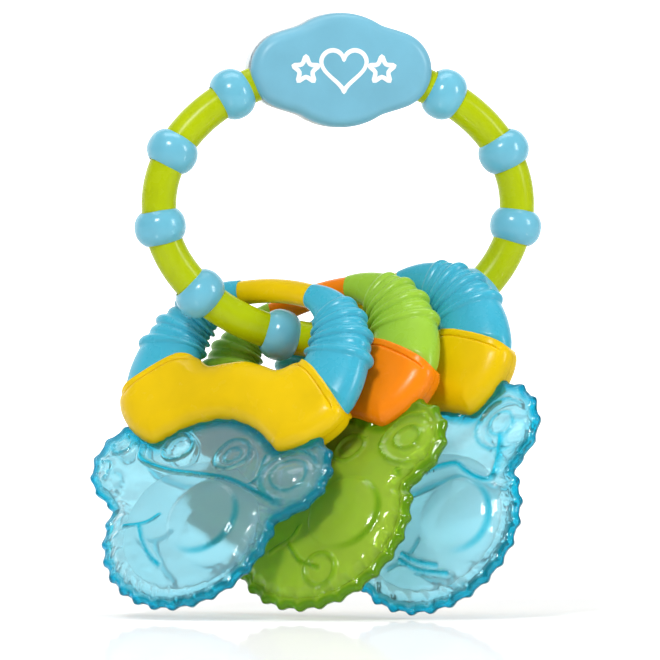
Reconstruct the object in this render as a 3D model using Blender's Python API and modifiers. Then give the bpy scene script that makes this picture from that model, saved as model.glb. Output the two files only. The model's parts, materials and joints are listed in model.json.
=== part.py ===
"""Teething ring: an oval ring with ten beads, closed by a clasp, and three keys that hang on it.

Metres, +Z up, +X to the right, and the front of the toy faces -Y. The origin is the middle of
the clasp's flat back face. Each key is modelled once in its own frame (X to its right, Z up its
length, front toward -Y, zero at the top edge of its block) and then hung three times.
"""
import math

import bmesh
import bpy
from mathutils import Matrix, Vector

MM = 0.001
GAP = 0.3 * MM

# Ring: an oval rod whose two ends are held inside the clasp.
RING_HALF_WIDTH = 44.7 * MM
RING_HALF_HEIGHT = 33.3 * MM
RING_RADIUS = 4.25 * MM
RING_DROP = 32.8 * MM
RING_END_ANGLE = 2.5
RING_NECK_ANGLE = 12.0
RING_NECK_RATIO = 0.7
RING_POINTS = 64

# Beads: five on each side, at these angles round the oval from its top.
BEAD_ANGLES = (36.0, 67.0, 99.0, 130.0, 161.0)
BEAD_RADIUS = 6.5 * MM
BEAD_HALF_LENGTH = 4.1 * MM
BEAD_BORE = RING_RADIUS + 0.5 * MM
BEAD_ROUNDNESS = 2.2

# Clasp: a four-lobed cloud in two shells.
CLASP_THICKNESS = 13.0 * MM
CLASP_ROUNDING = 3.2 * MM
CLASP_LOBE_RADIUS = 9.7 * MM
CLASP_LOBE_OFFSET = 12.9 * MM
CLASP_CROWN_RADIUS = 17.7 * MM
CLASP_CROWN_OFFSET = 3.8 * MM
CLASP_POST_HEIGHT = 9.2 * MM
CLASP_POST_RADIUS = 1.5 * MM

# Key handle: a round bar on top, two thick grips, and a block at the bottom.
BAR_RADIUS = 2.95 * MM
BAR_HEIGHT = 22.2 * MM
BAR_HALF_LENGTH = 10.4 * MM
BAR_END_DROP = 1.1 * MM
CORE_RATIO = 0.75
ARM_FOOT = (23.6 * MM, -5.2 * MM)
ARM_OUTER_PULL = (27.0 * MM, 4.0 * MM)
ARM_UPPER_PULL = (23.0 * MM, 18.0 * MM)
ARM_ROOT = (21.5 * MM, -9.0 * MM)
GRIP_FOOT_HALF_WIDTH = 10.0 * MM
GRIP_FOOT_HALF_DEPTH = 5.2 * MM
GRIP_END_RADIUS = 3.1 * MM
GRIP_SEAM_TILT = 16.0
GRIP_RIB_HEIGHT = 1.2 * MM
GRIP_RIB_FRONT = 0.6
GRIP_RIBS = (0.37, 0.53, 0.69)
GRIP_RIB_SPAN = 0.08
GRIP_SIDES = 10

BLOCK_THICKNESS = 10.8 * MM
BLOCK_ROUNDING = 1.9 * MM
PLATE_THICKNESS = 2.4 * MM
PLATE_HALF_WIDTH = 22.0 * MM
PLATE_TOP = -3.6 * MM
PLATE_BOTTOM = -10.6 * MM
POST_RADIUS = 1.3 * MM
PLATE_POST = (7.0 * MM, -7.2 * MM)
TAB_POST = (7.6 * MM, -15.4 * MM)
SLOT_HALF_DEPTH = 3.2 * MM

# Teether: two welded skins round a cooling gel, with a head, two ears and a tab for the block.
TEETHER_CENTRE = -38.0 * MM
HEAD = (0.0, -43.5 * MM, 24.6 * MM, 23.4 * MM)
TAB = (0.0, -27.0 * MM, 19.0 * MM, 15.6 * MM)
EAR = (23.4 * MM, -28.0 * MM, 11.8 * MM, 11.8 * MM)
TEETHER_HALF_DEPTH = 5.6 * MM
RIM_HALF_DEPTH = 1.5 * MM
SKIN_THICKNESS = 1.2 * MM
FLAT_TAB_BOTTOM = -21.5 * MM
SWELL_LENGTH = 12.0 * MM
TEETHER_POINTS = 44
GEL = (0.0, -43.5 * MM, 18.5 * MM, 17.0 * MM)

# Keys on the ring: where each key's zero lies from the ring's middle, and how it is turned:
# yaw about Z, then tilt about its own X, then lean in its own plane, in degrees.
KEYS = (
    {"place": (-23.7, -7.4, -39.8), "yaw": -45.4, "tilt": -31.3, "lean": 2.3, "colours": "blue"},
    {"place": (-6.9, -6.1, -40.8), "yaw": -45.3, "tilt": -28.8, "lean": -20.3, "colours": "green"},
    {"place": (11.2, -5.9, -41.0), "yaw": -44.4, "tilt": -21.0, "lean": -29.5, "colours": "sky"},
)

COLOURS = {
    "lime": ((0.520, 0.620, 0.010), 0.30),
    "sky": ((0.130, 0.510, 0.700), 0.32),
    "yellow": ((0.870, 0.610, 0.010), 0.30),
    "orange": ((0.890, 0.250, 0.015), 0.30),
    "leaf": ((0.330, 0.580, 0.070), 0.50),
    "clear_blue": ((0.280, 0.600, 0.800), 0.25),
    "clear_green": ((0.210, 0.480, 0.020), 0.25),
    "gel": ((0.560, 0.780, 0.880), 0.15),
    "white": ((0.850, 0.870, 0.880), 0.35),
}
KEY_COLOURS = {
    "blue": {"hard": "yellow", "grip": "sky", "skin": "clear_blue"},
    "green": {"hard": "orange", "grip": "leaf", "skin": "clear_green"},
    "sky": {"hard": "yellow", "grip": "sky", "skin": "clear_blue"},
}


def clear_scene():
    for item in list(bpy.data.objects):
        bpy.data.objects.remove(item, do_unlink=True)


def new_collection(name):
    group = bpy.data.collections.new(name)
    bpy.context.scene.collection.children.link(group)
    return group


def make_materials():
    made = {}
    for name, (colour, roughness) in COLOURS.items():
        material = bpy.data.materials.new(name)
        material.use_nodes = True
        shader = material.node_tree.nodes["Principled BSDF"]
        shader.inputs["Base Color"].default_value = (*colour, 1.0)
        shader.inputs["Roughness"].default_value = roughness
        made[name] = material
    return made


def add_piece(group, name, mesh, material, matrix=None):
    """A node of the object: its own object, with its material on the object and not the mesh."""
    item = bpy.data.objects.new(name, mesh)
    group.objects.link(item)
    if not mesh.materials:
        mesh.materials.append(None)
    item.material_slots[0].link = "OBJECT"
    item.material_slots[0].material = material
    if matrix is not None:
        item.matrix_world = matrix
    return item


def finish_mesh(shape, name):
    bmesh.ops.recalc_face_normals(shape, faces=shape.faces)
    mesh = bpy.data.meshes.new(name)
    shape.to_mesh(mesh)
    shape.free()
    mesh.shade_smooth()
    mesh.set_sharp_from_angle(angle=math.radians(40.0))
    return mesh


def curve_to_mesh(curve, matrix=None):
    """The closed mesh of a curve, with its caps welded on."""
    holder = bpy.data.objects.new(curve.name, curve)
    bpy.context.scene.collection.objects.link(holder)
    bpy.context.view_layer.update()
    graph = bpy.context.evaluated_depsgraph_get()
    raw = bpy.data.meshes.new_from_object(holder.evaluated_get(graph))
    bpy.data.objects.remove(holder)
    shape = bmesh.new()
    shape.from_mesh(raw)
    bmesh.ops.remove_doubles(shape, verts=shape.verts, dist=0.00001)
    if matrix is not None:
        shape.transform(matrix)
    bpy.data.meshes.remove(raw)
    return finish_mesh(shape, curve.name)


def tube(name, points, radius, ratios=None, resolution=2):
    """A round rod along points, each with an optional ratio of the radius."""
    curve = bpy.data.curves.new(name, "CURVE")
    curve.dimensions = "3D"
    curve.bevel_depth = radius
    curve.bevel_resolution = resolution
    curve.use_fill_caps = True
    spline = curve.splines.new("POLY")
    spline.points.add(len(points) - 1)
    for index, (knot, point) in enumerate(zip(spline.points, points)):
        knot.co = (*point, 1.0)
        knot.radius = ratios[index] if ratios else 1.0
    return curve_to_mesh(curve)


def slab(name, outline, thickness, rounding=0.0, steps=1, grow=0.0):
    """A flat outline in XZ, extruded evenly about y = 0, with both of its rims rounded."""
    curve = bpy.data.curves.new(name, "CURVE")
    curve.dimensions = "2D"
    curve.fill_mode = "BOTH"
    curve.extrude = thickness / 2 - rounding + grow
    curve.bevel_depth = rounding
    curve.bevel_resolution = steps
    curve.offset = grow - rounding
    spline = curve.splines.new("POLY")
    spline.points.add(len(outline) - 1)
    for knot, (x, z) in zip(spline.points, outline):
        knot.co = (x, z, 0.0, 1.0)
    spline.use_cyclic_u = True
    return curve_to_mesh(curve, Matrix.Rotation(math.radians(90.0), 4, "X"))


def post(x, z, radius, start, end):
    """A round post along Y from start to end."""
    shape = bmesh.new()
    bmesh.ops.create_cone(shape, cap_ends=True, segments=8, radius1=radius, radius2=radius,
                          depth=end - start)
    turn = Matrix.Rotation(math.radians(90.0), 4, "X")
    shape.transform(Matrix.Translation((x, (start + end) / 2, z)) @ turn)
    return finish_mesh(shape, "post")


def half(mesh, side):
    """The half of a closed mesh in front (side -1) or behind (side 1) of y = 0, kept clear of it."""
    shape = bmesh.new()
    shape.from_mesh(mesh)
    everything = shape.verts[:] + shape.edges[:] + shape.faces[:]
    bmesh.ops.bisect_plane(shape, geom=everything, plane_co=(0.0, side * GAP / 2, 0.0),
                           plane_no=(0.0, side, 0.0), clear_inner=True)
    rim = [edge for edge in shape.edges if edge.is_boundary]
    bmesh.ops.edgeloop_fill(shape, edges=rim)
    return finish_mesh(shape, mesh.name)


def combine(group, mesh, others, operation):
    """Cut others from a mesh, or join them to it, with exact booleans."""
    body = bpy.data.objects.new("body", mesh)
    group.objects.link(body)
    for index, other in enumerate(others):
        tool = bpy.data.objects.new(f"{mesh.name}_{operation.lower()}_{index}", other)
        group.objects.link(tool)
        tool.display_type = "WIRE"
        tool.hide_render = True
        boolean = body.modifiers.new("boolean", "BOOLEAN")
        boolean.operation = operation
        boolean.object = tool
        boolean.solver = "EXACT"
    bpy.context.view_layer.update()
    graph = bpy.context.evaluated_depsgraph_get()
    result = bpy.data.meshes.new_from_object(body.evaluated_get(graph))
    bpy.data.objects.remove(body)
    result.name = mesh.name
    shape = bmesh.new()
    shape.from_mesh(result)
    bmesh.ops.remove_doubles(shape, verts=shape.verts, dist=0.000002)
    result.materials.clear()
    bpy.data.meshes.remove(result)
    return finish_mesh(shape, mesh.name)


def smooth_loop(points, steps):
    """A closed Catmull-Rom curve through points, as a list of (x, z)."""
    loop = []
    count = len(points)
    for index in range(count):
        before, start, end, after = (Vector(points[(index + shift) % count]) for shift in (-1, 0, 1, 2))
        for step in range(steps):
            t = step / steps
            value = 0.5 * (2 * start + (end - before) * t
                           + (2 * before - 5 * start + 4 * end - after) * t * t
                           + (3 * start - before - 3 * end + after) * t ** 3)
            loop.append((value.x, value.y))
    return loop


def ring_point(angle):
    """Centre of the rod at an angle in degrees from the top, clockwise seen from the front."""
    turn = math.radians(angle)
    return Vector((RING_HALF_WIDTH * math.sin(turn), -CLASP_THICKNESS / 2,
                   RING_HALF_HEIGHT * math.cos(turn) - RING_DROP))


def ring_tangent(angle):
    turn = math.radians(angle)
    return Vector((RING_HALF_WIDTH * math.cos(turn), 0.0, -RING_HALF_HEIGHT * math.sin(turn))).normalized()


def ring_mesh(extra=0.0):
    """The rod, with a neck near each end that the clasp closes on."""
    span = 360.0 - 2 * RING_END_ANGLE
    angles = [RING_END_ANGLE + span * step / RING_POINTS for step in range(RING_POINTS + 1)]
    ratios = []
    for angle in angles:
        from_end = min(angle, 360.0 - angle)
        necked = abs(from_end - RING_NECK_ANGLE) < span / RING_POINTS
        radius = RING_RADIUS * (RING_NECK_RATIO if necked else 1.0) + extra
        ratios.append(radius / RING_RADIUS)
    points = [ring_point(angle) for angle in angles]
    return tube("ring", points, RING_RADIUS, ratios, resolution=3)


def bead_mesh():
    """A turned bead about Z, with the rod's bore through it."""
    profile = [(BEAD_BORE, BEAD_HALF_LENGTH)]
    for step in range(1, 7):
        turn = math.radians(90.0 - 180.0 * step / 7)
        power = 2.0 / BEAD_ROUNDNESS
        out = BEAD_BORE + (BEAD_RADIUS - BEAD_BORE) * math.cos(turn) ** power
        along = math.copysign(abs(math.sin(turn)) ** power, turn) * BEAD_HALF_LENGTH
        profile.append((out, along))
    profile.append((BEAD_BORE, -BEAD_HALF_LENGTH))
    shape = bmesh.new()
    corners = [shape.verts.new((x, 0.0, z)) for x, z in profile]
    for first, second in zip(corners, corners[1:] + corners[:1]):
        shape.edges.new((first, second))
    bmesh.ops.spin(shape, geom=shape.verts[:] + shape.edges[:], cent=(0, 0, 0), axis=(0, 0, 1),
                   angle=math.tau, steps=14, use_merge=True)
    bmesh.ops.remove_doubles(shape, verts=shape.verts, dist=0.00001)
    return finish_mesh(shape, "bead")


def clasp_outline():
    """The cloud: the farthest reach of two side lobes and the upper or lower crown."""
    outline = []
    for step in range(64):
        turn = math.tau * step / 64
        across, up = abs(math.cos(turn)), abs(math.sin(turn))
        crown = -CLASP_CROWN_OFFSET * up
        far = crown + math.sqrt(crown ** 2 + CLASP_CROWN_RADIUS ** 2 - CLASP_CROWN_OFFSET ** 2)
        inside = CLASP_LOBE_RADIUS ** 2 - (CLASP_LOBE_OFFSET * up) ** 2
        if inside > 0.0:
            far = max(far, CLASP_LOBE_OFFSET * across + math.sqrt(inside))
        outline.append((far * math.cos(turn), far * math.sin(turn)))
    return outline


def build_ring(group, paint):
    add_piece(group, "ring", ring_mesh(), paint["lime"])
    bead = bead_mesh()
    for side, word in ((-1, "left"), (1, "right")):
        for index, angle in enumerate(BEAD_ANGLES, 1):
            turned = Vector((0, 0, 1)).rotation_difference(ring_tangent(side * angle)).to_matrix()
            matrix = Matrix.Translation(ring_point(side * angle)) @ turned.to_4x4()
            add_piece(group, f"bead_{word}_{index}", bead, paint["sky"], matrix)


def build_clasp(group, cutters, paint):
    """Two shells that close on the ring's ends; two posts of the back one enter the front one."""
    middle = -CLASP_THICKNESS / 2
    whole = slab("clasp", clasp_outline(), CLASP_THICKNESS, CLASP_ROUNDING)
    channel = ring_mesh(GAP)
    channel.transform(Matrix.Translation((0.0, -middle, 0.0)))
    tip = -CLASP_THICKNESS / 4
    posts = [post(0.0, side * CLASP_POST_HEIGHT, CLASP_POST_RADIUS, tip, -tip / 2)
             for side in (-1, 1)]
    sockets = [post(0.0, side * CLASP_POST_HEIGHT, CLASP_POST_RADIUS + GAP, tip - GAP, -tip)
               for side in (-1, 1)]
    front = combine(cutters, half(whole, -1), [channel, *sockets], "DIFFERENCE")
    back = combine(cutters, half(whole, 1), [channel], "DIFFERENCE")
    back = combine(cutters, back, posts, "UNION")
    place = Matrix.Translation((0.0, middle, 0.0))
    add_piece(group, "clasp_front_shell", front, paint["sky"], place)
    add_piece(group, "clasp_back_shell", back, paint["white"], place)


def arm_point(t):
    """Centre of the right arm, from the block (t = 0) to the bar (t = 1)."""
    end = (BAR_HALF_LENGTH, BAR_HEIGHT - BAR_END_DROP)
    knots = (ARM_FOOT, ARM_OUTER_PULL, ARM_UPPER_PULL, end)
    weights = ((1 - t) ** 3, 3 * t * (1 - t) ** 2, 3 * t * t * (1 - t), t ** 3)
    return Vector((sum(w * knot[0] for w, knot in zip(weights, knots)),
                   sum(w * knot[1] for w, knot in zip(weights, knots))))


def grip_section(t, side, ribbed):
    """One oval section of a grip, as points round it."""
    ahead = arm_point(t + 0.005) - arm_point(t - 0.005)
    tilt = math.atan2(ahead.y, ahead.x) - math.radians(90.0)
    tilt -= math.radians(GRIP_SEAM_TILT) * (1 - t) ** 2
    swell = 1.0 - abs(t) ** 1.2
    rib = GRIP_RIB_HEIGHT if ribbed else 0.0
    wide = GRIP_END_RADIUS + (GRIP_FOOT_HALF_WIDTH - GRIP_END_RADIUS) * swell + rib
    deep = GRIP_END_RADIUS + (GRIP_FOOT_HALF_DEPTH - GRIP_END_RADIUS) * swell + rib * GRIP_RIB_FRONT
    centre = arm_point(t)
    ring = []
    for step in range(GRIP_SIDES):
        turn = math.tau * step / GRIP_SIDES
        across = wide * math.copysign(abs(math.cos(turn)) ** 0.85, math.cos(turn))
        depth = deep * math.copysign(abs(math.sin(turn)) ** 0.85, math.sin(turn))
        x = centre.x + across * math.cos(tilt)
        z = centre.y + across * math.sin(tilt)
        ring.append(Vector((side * x, depth, z)))
    return ring


def grip_mesh(side):
    """A ribbed sleeve: a loft of oval sections up the arm."""
    stations = [(-0.1, False), (0.13, False), (GRIP_RIBS[0] - GRIP_RIB_SPAN, False)]
    for rib in GRIP_RIBS:
        stations += [(rib, True), (rib + GRIP_RIB_SPAN, False)]
    stations += [(0.88, False), (1.0, False)]
    shape = bmesh.new()
    rings = []
    for t, ribbed in stations:
        rings.append([shape.verts.new(point) for point in grip_section(t, side, ribbed)])
    for lower, upper in zip(rings, rings[1:]):
        for index in range(GRIP_SIDES):
            after = (index + 1) % GRIP_SIDES
            shape.faces.new((lower[index], lower[after], upper[after], upper[index]))
    shape.faces.new(rings[0])
    shape.faces.new(rings[-1])
    return finish_mesh(shape, "grip")


def handle_rod(name, extra=0.0):
    """The handle's rod: up the left arm, along the arched bar and down the right arm.

    It is thinner inside the grips, so that they lie flush with the bar.
    """
    arm = [Vector(ARM_ROOT)] + [arm_point(step / 9) for step in range(10)]
    bar = [Vector((BAR_HALF_LENGTH * share, BAR_HEIGHT - BAR_END_DROP * share ** 2))
           for share in (0.88, 0.6, 0.3, 0.0)]
    right = [(point, CORE_RATIO) for point in arm] + [(point, 1.0) for point in bar]
    left = [(Vector((-point.x, point.y)), ratio) for point, ratio in right[:-1]]
    route = left + right[::-1]
    points = [Vector((point.x, 0.0, point.y)) for point, ratio in route]
    ratios = [ratio + extra / BAR_RADIUS for point, ratio in route]
    return tube(name, points, BAR_RADIUS, ratios)


def block_outline():
    """The block seen from the front, half of it given and the rest mirrored."""
    half_outline = [(0.0, 1.2), (5.2, 0.4), (10.4, -0.6), (15.6, 1.7), (20.4, 0.1), (24.8, -3.0),
                    (29.2, -6.9), (32.4, -10.6), (31.4, -14.2), (27.8, -18.2), (23.6, -21.0),
                    (18.6, -22.6), (15.0, -20.4), (9.8, -17.0), (3.4, -14.9), (0.0, -14.6)]
    right = [(x * MM, z * MM) for x, z in half_outline]
    left = [(-x, z) for x, z in right[1:-1]]
    return smooth_loop(right + left[::-1], 1)


def reach(oval, turn, extra):
    """How far a ray from the teether's centre goes before it leaves an oval, or zero."""
    x, z, wide, high = oval
    wide += extra
    high += extra
    across, up = math.cos(turn), math.sin(turn)
    offset = TEETHER_CENTRE - z
    a = (across / wide) ** 2 + (up / high) ** 2
    b = (-x * across) / wide ** 2 + (offset * up) / high ** 2
    c = (x / wide) ** 2 + (offset / high) ** 2 - 1.0
    inside = b * b - a * c
    return (-b + math.sqrt(inside)) / a if inside > 0.0 else 0.0


def teether_edge(turn, extra=0.0):
    """Distance of the teether's rim from its centre at an angle from +X."""
    x, z, wide, high = EAR
    ovals = (HEAD, TAB, EAR, (-x, z, wide, high))
    return max(reach(oval, turn, extra) for oval in ovals)


def teether_depth(share, z):
    """Half the teether's depth at a share of the way from its centre to its rim."""
    rise = min(max((0.95 - share) / 0.45, 0.0), 1.0)
    crown = math.sqrt(1.0 - (1.0 - rise) ** 2)
    drop = min(max((FLAT_TAB_BOTTOM - z) / SWELL_LENGTH, 0.0), 1.0)
    swell = drop * drop * (3.0 - 2.0 * drop)
    return RIM_HALF_DEPTH + (TEETHER_HALF_DEPTH - RIM_HALF_DEPTH) * crown * swell


def skin_mesh(side):
    """One skin: an open domed surface, thickened inward."""
    shape = bmesh.new()
    rings = []
    for share in (1.0, 0.93, 0.82, 0.6, 0.3):
        ring = []
        for step in range(TEETHER_POINTS):
            turn = math.tau * step / TEETHER_POINTS
            x = share * teether_edge(turn) * math.cos(turn)
            z = TEETHER_CENTRE + share * teether_edge(turn) * math.sin(turn)
            ring.append(shape.verts.new((x, side * teether_depth(share, z), z)))
        rings.append(ring)
    crown = shape.verts.new((0.0, side * teether_depth(0.0, TEETHER_CENTRE), TEETHER_CENTRE))
    for outer, inner in zip(rings, rings[1:]):
        for index in range(TEETHER_POINTS):
            after = (index + 1) % TEETHER_POINTS
            quad = (outer[index], outer[after], inner[after], inner[index])
            shape.faces.new(quad if side < 0 else quad[::-1])
    for index in range(TEETHER_POINTS):
        triangle = (rings[-1][index], rings[-1][(index + 1) % TEETHER_POINTS], crown)
        shape.faces.new(triangle if side < 0 else triangle[::-1])
    mesh = bpy.data.meshes.new("skin")
    shape.to_mesh(mesh)
    shape.free()
    return mesh


def thicken(group, mesh, thickness):
    body = bpy.data.objects.new("body", mesh)
    group.objects.link(body)
    solid = body.modifiers.new("solid", "SOLIDIFY")
    solid.thickness = thickness
    solid.offset = -1.0
    bpy.context.view_layer.update()
    graph = bpy.context.evaluated_depsgraph_get()
    result = bpy.data.meshes.new_from_object(body.evaluated_get(graph))
    bpy.data.objects.remove(body)
    shape = bmesh.new()
    shape.from_mesh(result)
    bpy.data.meshes.remove(result)
    return finish_mesh(shape, mesh.name)


def gel_mesh():
    """The gel pouch: a lens inside the two skins."""
    x, z, wide, high = GEL
    shape = bmesh.new()
    count = TEETHER_POINTS // 2
    inset = SKIN_THICKNESS + 3 * GAP

    def ring(share, side):
        made = []
        for step in range(count):
            turn = math.tau * step / count
            px = x + share * wide * math.cos(turn)
            pz = z + share * high * math.sin(turn)
            edge = math.hypot(px, pz - TEETHER_CENTRE)
            edge /= teether_edge(math.atan2(pz - TEETHER_CENTRE, px))
            depth = max(teether_depth(edge, pz) - inset, 0.2 * MM)
            made.append(shape.verts.new((px, side * depth, pz)))
        return made

    rim = ring(1.0, 0)
    for side in (-1, 1):
        rings = [rim, ring(0.9, side), ring(0.5, side)]
        for outer, inner in zip(rings, rings[1:]):
            for index in range(count):
                after = (index + 1) % count
                shape.faces.new((outer[index], outer[after], inner[after], inner[index]))
        shape.faces.new(rings[-1])
    return finish_mesh(shape, "gel")


def key_meshes(cutters):
    """Every piece of a key, modelled once in the key's own frame."""
    rod = handle_rod("frame")
    bore = handle_rod("bore", GAP)
    plate_outline = [(x * PLATE_HALF_WIDTH, z) for x, z in
                     ((-1.0, PLATE_TOP), (1.0, PLATE_TOP), (1.0, PLATE_BOTTOM), (-1.0, PLATE_BOTTOM))]
    room_outline = [(x + math.copysign(GAP, x), z + (GAP if z == PLATE_TOP else -GAP))
                    for x, z in plate_outline]
    plate = slab("plate", plate_outline, PLATE_THICKNESS)
    room = slab("room", room_outline, PLATE_THICKNESS + 2 * GAP)
    slot_outline = []
    for step in range(TEETHER_POINTS):
        turn = math.tau * step / TEETHER_POINTS
        far = teether_edge(turn, 1.5 * GAP)
        slot_outline.append((far * math.cos(turn), TEETHER_CENTRE + far * math.sin(turn)))
    slot = slab("slot", slot_outline, 2 * SLOT_HALF_DEPTH)
    places = [(side * x, z) for x, z in (PLATE_POST, TAB_POST) for side in (-1, 1)]
    behind = BLOCK_THICKNESS / 2 - BLOCK_ROUNDING
    posts = [post(x, z, POST_RADIUS, -behind, behind + GAP) for x, z in places]
    holes = [post(x, z, POST_RADIUS + GAP, -behind - GAP, behind) for x, z in places]
    frame = combine(cutters, rod, [plate], "UNION")
    frame = combine(cutters, frame, holes[:2], "DIFFERENCE")
    block = slab("cover", block_outline(), BLOCK_THICKNESS, BLOCK_ROUNDING)
    front = combine(cutters, half(block, -1), [bore, room, slot, *holes], "DIFFERENCE")
    back = combine(cutters, half(block, 1), [bore, room, slot], "DIFFERENCE")
    back = combine(cutters, back, posts, "UNION")
    around = slab("around", block_outline(), BLOCK_THICKNESS, BLOCK_ROUNDING, grow=GAP)
    meshes = {"frame": frame, "cover_front": front, "cover_back": back}
    for side, word in ((-1, "left"), (1, "right")):
        meshes[f"grip_{word}"] = combine(cutters, grip_mesh(side), [bore, around], "DIFFERENCE")
    for side, word in ((-1, "front"), (1, "back")):
        skin = thicken(cutters, skin_mesh(side), SKIN_THICKNESS)
        meshes[f"skin_{word}"] = combine(cutters, skin, holes[2:], "DIFFERENCE")
    meshes["gel"] = gel_mesh()
    return meshes


def key_matrix(key):
    """Where a key hangs: its place from the ring's middle and its three turns."""
    x, y, z = (value * MM for value in key["place"])
    middle = Matrix.Translation((x, y - CLASP_THICKNESS / 2, z - RING_DROP))
    yaw = Matrix.Rotation(math.radians(key["yaw"]), 4, "Z")
    tilt = Matrix.Rotation(math.radians(key["tilt"]), 4, "X")
    lean = Matrix.Rotation(math.radians(key["lean"]), 4, "Y")
    return middle @ yaw @ tilt @ lean


def build_keys(group, cutters, paint):
    meshes = key_meshes(cutters)
    for number, key in enumerate(KEYS, 1):
        matrix = key_matrix(key)
        colours = KEY_COLOURS[key["colours"]]
        for piece, mesh in meshes.items():
            kind = piece.split("_")[0]
            use = {"frame": "hard", "cover": "hard", "grip": "grip", "skin": "skin"}.get(kind)
            material = paint[colours[use]] if use else paint["gel"]
            add_piece(group, f"key_{number}_{piece}", mesh, material, matrix)


def main():
    clear_scene()
    group = new_collection("teething_ring")
    cutters = new_collection("cutters")
    paint = make_materials()
    build_ring(group, paint)
    build_clasp(group, cutters, paint)
    build_keys(group, cutters, paint)


main()
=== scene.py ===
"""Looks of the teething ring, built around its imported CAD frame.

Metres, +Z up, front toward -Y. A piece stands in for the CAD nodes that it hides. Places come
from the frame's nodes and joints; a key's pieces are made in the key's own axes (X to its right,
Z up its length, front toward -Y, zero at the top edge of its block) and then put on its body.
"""

import json
import math

import bmesh
import bpy
import numpy as np
from mathutils import Matrix, Vector
from mathutils.geometry import delaunay_2d_cdt


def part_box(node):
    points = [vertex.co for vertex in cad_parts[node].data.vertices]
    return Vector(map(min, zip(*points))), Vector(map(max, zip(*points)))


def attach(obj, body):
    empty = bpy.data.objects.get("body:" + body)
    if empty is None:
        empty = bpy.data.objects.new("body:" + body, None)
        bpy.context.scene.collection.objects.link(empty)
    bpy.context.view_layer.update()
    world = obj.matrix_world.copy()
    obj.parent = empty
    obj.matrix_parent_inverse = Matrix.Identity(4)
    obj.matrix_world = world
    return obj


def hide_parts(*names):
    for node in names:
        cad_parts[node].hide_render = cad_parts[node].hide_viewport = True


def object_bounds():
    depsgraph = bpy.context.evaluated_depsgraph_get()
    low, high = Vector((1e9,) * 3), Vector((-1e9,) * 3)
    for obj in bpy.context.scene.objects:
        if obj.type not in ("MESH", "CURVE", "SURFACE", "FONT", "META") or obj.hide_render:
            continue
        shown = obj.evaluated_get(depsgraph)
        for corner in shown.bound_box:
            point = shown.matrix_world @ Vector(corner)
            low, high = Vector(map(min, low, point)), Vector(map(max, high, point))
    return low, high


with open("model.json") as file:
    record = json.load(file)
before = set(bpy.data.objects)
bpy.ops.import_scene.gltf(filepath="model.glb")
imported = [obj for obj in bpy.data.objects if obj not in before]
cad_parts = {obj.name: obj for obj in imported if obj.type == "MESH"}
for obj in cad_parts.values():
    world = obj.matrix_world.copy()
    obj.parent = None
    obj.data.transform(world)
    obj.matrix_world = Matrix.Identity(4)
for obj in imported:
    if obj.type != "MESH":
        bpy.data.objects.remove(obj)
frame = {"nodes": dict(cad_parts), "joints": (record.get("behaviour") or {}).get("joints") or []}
cad_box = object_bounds()

MM = 0.001

# Ring and beads.
RING_ASPECT = 0.745
RING_END_ANGLE = 4.0
RING_NECK_ANGLE = 12.0
RING_NECK_RATIO = 0.7
RING_STEPS = 220
RING_SIDES = 40
BEAD_SHAPE = 2.25
BEAD_BORE_RATIO = 0.67
BEAD_LENGTH_RATIO = 0.65
BEAD_BORE_OVERLAP = 0.1 * MM
BEAD_BORE_END = 0.96
BEAD_STEPS = 26
BEAD_SIDES = 56

# Clasp: side lobes and crowns, as shares of half its width.
CLASP_LOBE = 0.429
CLASP_LOBE_OFFSET = 0.571
CLASP_CROWN = 0.783
CLASP_CROWN_OFFSET = 0.168
CLASP_ROUNDING = 2.9 * MM
CLASP_CROWNING = 0.35 * MM
CLASP_STEPS = 180
CLASP_SOFTENING = 5
CLASP_EDGE = 0.25 * MM
CLASP_ROUNDING_STEPS = 8
CLASP_FACE_SHARES = (0.8, 0.55, 0.3, 0.1)
PRINT_HALF_WIDTH = 0.55 * MM
PRINT_RISE = 0.12 * MM
PRINT_SINK = 0.06 * MM
PRINT_LIFT = 0.6 * MM
PRINT_SIDES = 8
HEART_SIZE = 5.6 * MM
HEART_STEPS = 72
STAR_SIZE = 3.3 * MM
STAR_OFFSET = 9.4 * MM
STAR_INNER_RATIO = 0.52

# Key handle.
BAR_RADIUS = 2.95 * MM
BAR_HEIGHT = 22.2 * MM
BAR_HALF_LENGTH = 10.4 * MM
BAR_END_DROP = 1.1 * MM
CORE_RATIO = 0.75
ARM_STEPS = 24
BAR_STEPS = 18
BAR_SIDES = 32
ARM_FOOT = (23.6 * MM, -5.2 * MM)
ARM_OUTER_PULL = (27.0 * MM, 4.0 * MM)
ARM_UPPER_PULL = (23.0 * MM, 18.0 * MM)
ARM_ROOT = (21.5 * MM, -9.0 * MM)
GRIP_FOOT_HALF_WIDTH = 10.0 * MM
GRIP_FOOT_HALF_DEPTH = 5.25 * MM
GRIP_FOOT_TUCK = 0.6 * MM
GRIP_TUCK_END = 0.065
GRIP_TUCK_SPAN = 0.03
GRIP_START = -0.06
GRIP_SQUARENESS = 0.85
GRIP_TAPER = 1.2
GRIP_END_RADIUS = 3.05 * MM
GRIP_SEAM_TILT = 16.0
GRIP_SIDES = 56
GRIP_STEPS = 180
# Each rib's place along the arm (0 at the block, 1 at the bar) and its height in millimetres.
GRIP_RIBS = ((0.33, 1.3), (0.41, 0.4), (0.48, 1.3), (0.555, 0.4), (0.615, 1.25), (0.68, 0.4),
             (0.73, 0.8))
GRIP_RIB_SPAN = 0.035
GRIP_RIB_FRONT = 0.5

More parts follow.
